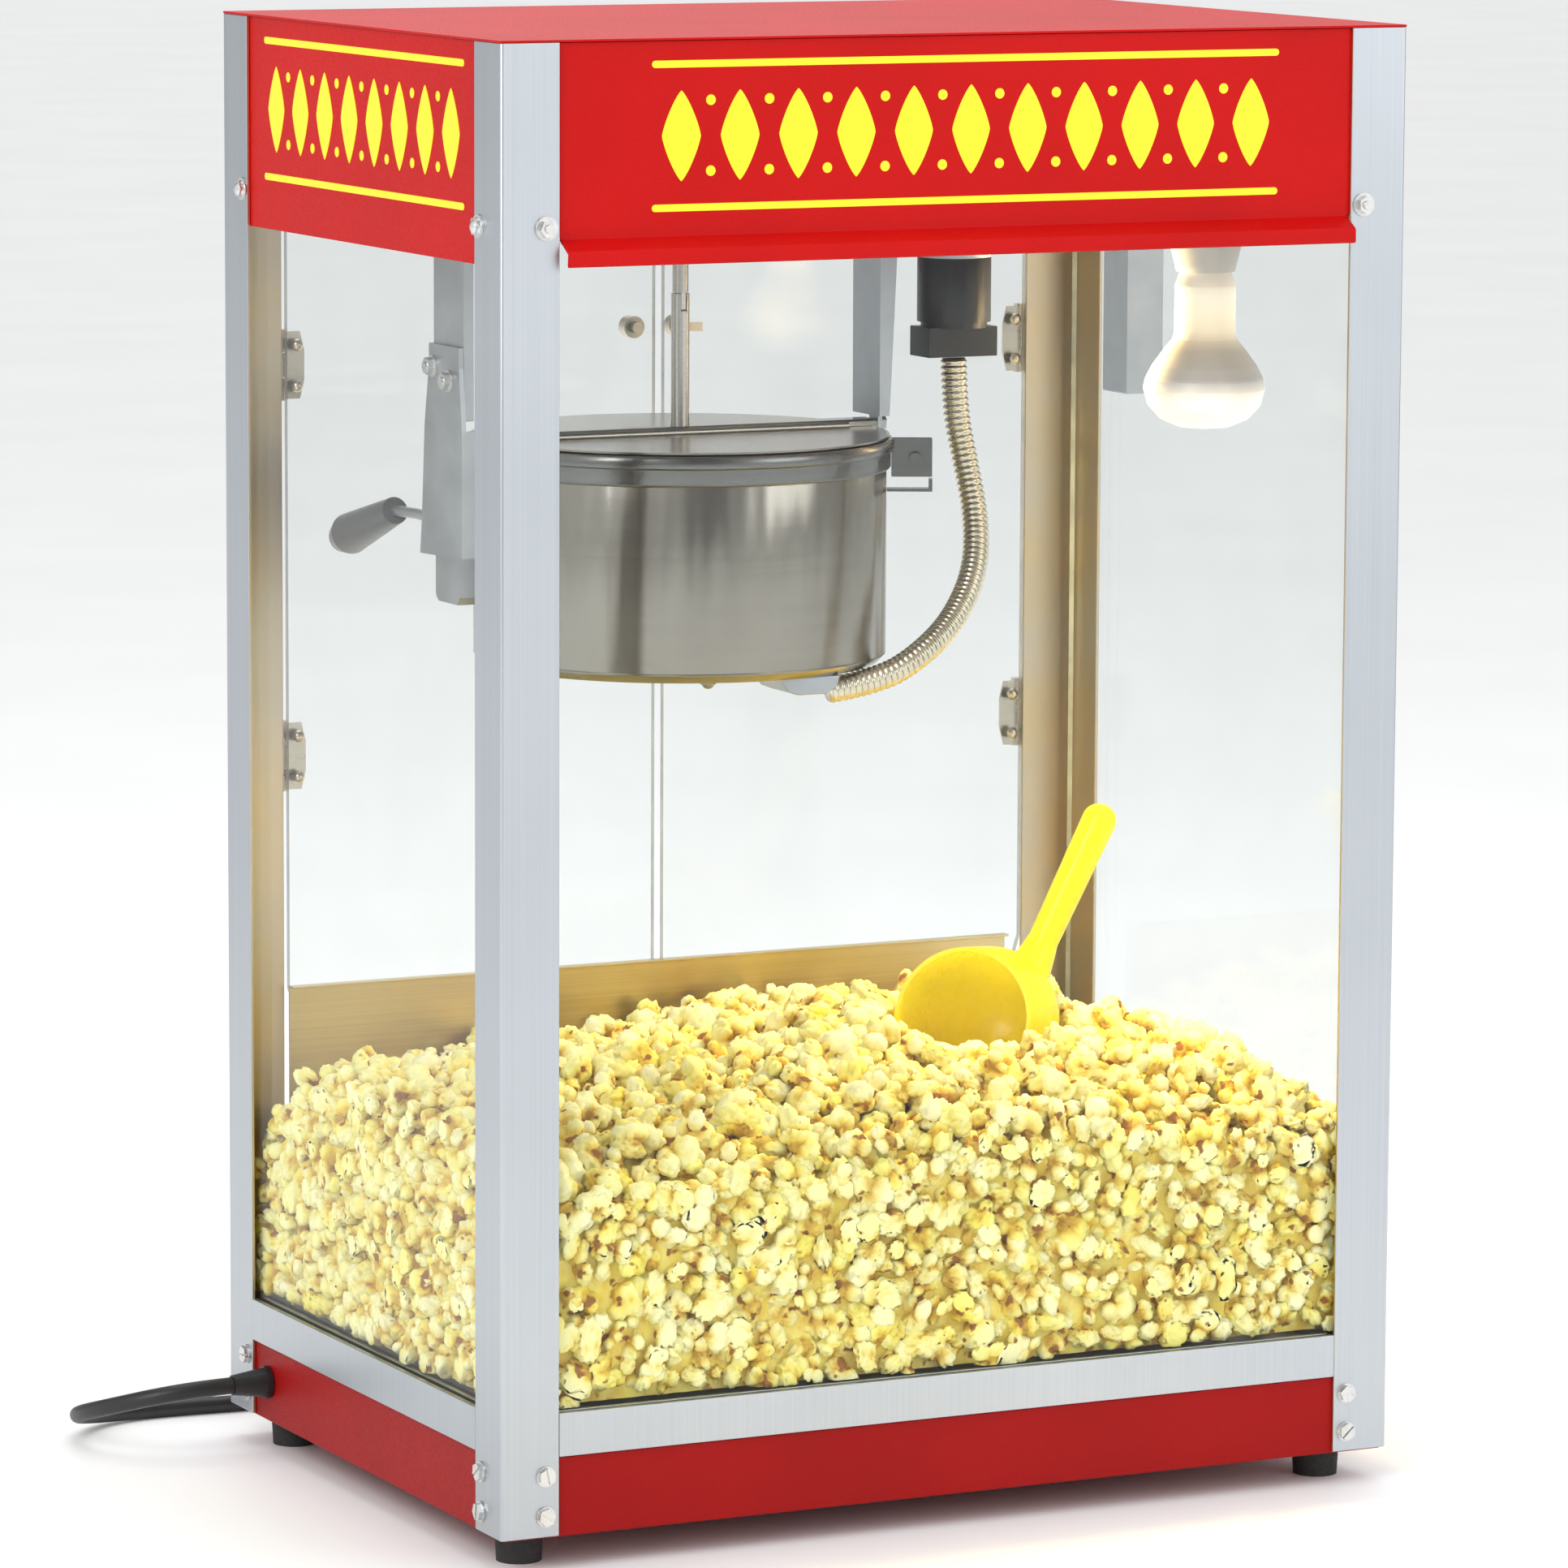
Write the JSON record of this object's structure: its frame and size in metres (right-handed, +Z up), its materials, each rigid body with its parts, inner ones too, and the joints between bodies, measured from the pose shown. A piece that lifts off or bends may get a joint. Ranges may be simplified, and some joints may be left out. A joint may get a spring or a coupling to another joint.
{
  "type": "popcorn maker",
  "caption": "Counter-top popcorn machine: glazed aluminium-post cabinet, red header and base, hanging tilt kettle with stirrer, rear doors, lamp, heap of popcorn and scoop.",
  "frame": {"origin": "centre of the footprint, at the underside of the rubber feet", "axes": "+X to the right seen from the customer's side, -Y towards the customer, +Y to the operator's doors, +Z up"},
  "size_m": [0.5999, 0.57, 0.7616],
  "materials": {
    "red_paint": "fine orange-peel powder coat",
    "post_aluminium": "satin anodised",
    "stainless": "brushed",
    "kettle_steel": "polished, lightly brushed",
    "galvanised": "plain zinc-coated sheet",
    "hinge_steel": "zinc plated",
    "clear_panel": "clear sheet with polished edges",
    "glass": "clear float glass with ground edges",
    "motor_grey": "satin paint",
    "conduit_metal": "corrugated flexible conduit",
    "heater_metal": "oxidised sheath",
    "outlet_grey": "moulded",
    "black_plastic": "moulded",
    "bulb_glass": "frosted reflector lamp",
    "lamp_holder_cream": "moulded ceramic look",
    "grip_plastic": "dark grey phenolic",
    "zinc_fastener": "zinc plated",
    "popcorn": "popped corn in a loose heap",
    "cord_black": "satin jacket",
    "rocker_red": "gloss",
    "black_rubber": "moulded",
    "yellow_plastic": "gloss moulded"
  },
  "bodies": {
    "cabinet": {"base_pan": "red_paint", "ceiling_plate": "galvanised", "floor_deck": "stainless", "gearmotor": "motor_grey", "glass_front": "glass", "glass_left": "glass", "glass_right": "glass", "hanger_arm_left": "galvanised", "hanger_arm_right": "galvanised", "hanger_plate_left": "galvanised", "header_front": "red_paint", "header_left": "red_paint", "header_rear": "red_paint", "header_right": "red_paint", "hinge_leaves_fixed": "hinge_steel", "kettle_conduit": "conduit_metal", "kettle_outlet": "outlet_grey", "kettle_plug": "black_plastic", "lamp_bulb": "bulb_glass", "lamp_holder": "lamp_holder_cream", "lower_screws": "zinc_fastener", "nuts_and_washers": "zinc_fastener", "popcorn_heap": "popcorn", "post_front_left": "post_aluminium", "post_front_right": "post_aluminium", "post_rear_left": "post_aluminium", "post_rear_right": "post_aluminium", "power_cord": "cord_black", "power_cord_coil": "cord_black", "power_plug": "black_plastic", "rail_front": "post_aluminium", "rail_left": "post_aluminium", "rail_rear": "post_aluminium", "rail_right": "post_aluminium", "rear_apron": "stainless", "roof_panel": "red_paint", "rubber_feet": "black_rubber", "strain_relief": "black_plastic", "switch_box": "galvanised"},
    "kettle": {"kettle_shell": "kettle_steel", "kettle_bottom_cover": "kettle_steel", "kettle_heater": "heater_metal", "kettle_band": "kettle_steel", "kettle_crossbar": "kettle_steel", "tilt_lever": "galvanised", "lever_grip": "grip_plastic", "kettle_junction": "galvanised", "lid_rear": "kettle_steel"},
    "front_lid": {"lid_front": "kettle_steel"},
    "agitator": {"agitator": "stainless"},
    "drive_shaft": {"drive_shaft": "stainless"},
    "door_left": {"door_left": "clear_panel", "door_left_hardware": "hinge_steel"},
    "door_right": {"door_right": "clear_panel", "door_right_hardware": "hinge_steel"},
    "kernel_drawer": {"kernel_drawer": "stainless"},
    "scoop": {"scoop": "yellow_plastic"},
    "rocker_heat": {"rocker_heat": "rocker_red"},
    "rocker_motor": {"rocker_motor": "rocker_red"},
    "rocker_light": {"rocker_light": "rocker_red"}
  },
  "joints": [
    {"name": "kettle_tilt", "type": "hinge", "parent": "cabinet", "child": "kettle", "pos_m": [-0.0728, 0, 0.55], "axis": [1, 0, 0], "range_deg": [0, 55], "deforming": ["kettle_conduit"]},
    {"name": "lid_lift", "type": "hinge", "parent": "kettle", "child": "front_lid", "pos_m": [-0.0728, -0.0103, 0.5498], "axis": [-1, 0, 0], "range_deg": [0, 70]},
    {"name": "drive_shaft_spin", "type": "hinge", "parent": "cabinet", "child": "drive_shaft", "pos_m": [-0.0728, 0, 0.64], "axis": [0, 0, 1], "continuous": true},
    {"name": "agitator_spin", "type": "hinge", "parent": "kettle", "child": "agitator", "pos_m": [-0.0728, 0, 0.5], "axis": [0, 0, 1], "continuous": true},
    {"name": "door_left_hinge", "type": "hinge", "parent": "cabinet", "child": "door_left", "pos_m": [-0.22105, 0.1819, 0.44], "axis": [0, 0, 1], "range_deg": [0, 105]},
    {"name": "door_right_hinge", "type": "hinge", "parent": "cabinet", "child": "door_right", "pos_m": [0.22105, 0.1819, 0.44], "axis": [0, 0, -1], "range_deg": [0, 105]},
    {"name": "drawer_slide", "type": "slide", "parent": "cabinet", "child": "kernel_drawer", "axis": [0, 1, 0], "range_m": [0, 0.2]},
    {"name": "scoop_lift", "type": "slide", "parent": "cabinet", "child": "scoop", "axis": [0.4674, 0, 0.8841], "range_m": [0, 0.11]},
    {"name": "rocker_light_press", "type": "hinge", "parent": "cabinet", "child": "rocker_light", "pos_m": [0.2335, 0.0835, 0.578], "axis": [1, 0, 0], "range_deg": [0, 12]},
    {"name": "rocker_motor_press", "type": "hinge", "parent": "cabinet", "child": "rocker_motor", "pos_m": [0.2335, 0.0835, 0.606], "axis": [1, 0, 0], "range_deg": [0, 12]},
    {"name": "rocker_heat_press", "type": "hinge", "parent": "cabinet", "child": "rocker_heat", "pos_m": [0.2335, 0.0835, 0.634], "axis": [1, 0, 0], "range_deg": [0, 12]}
  ],
  "couplings": [
    {"joint": "agitator_spin", "follows": "drive_shaft_spin", "ratio": 1}
  ]
}
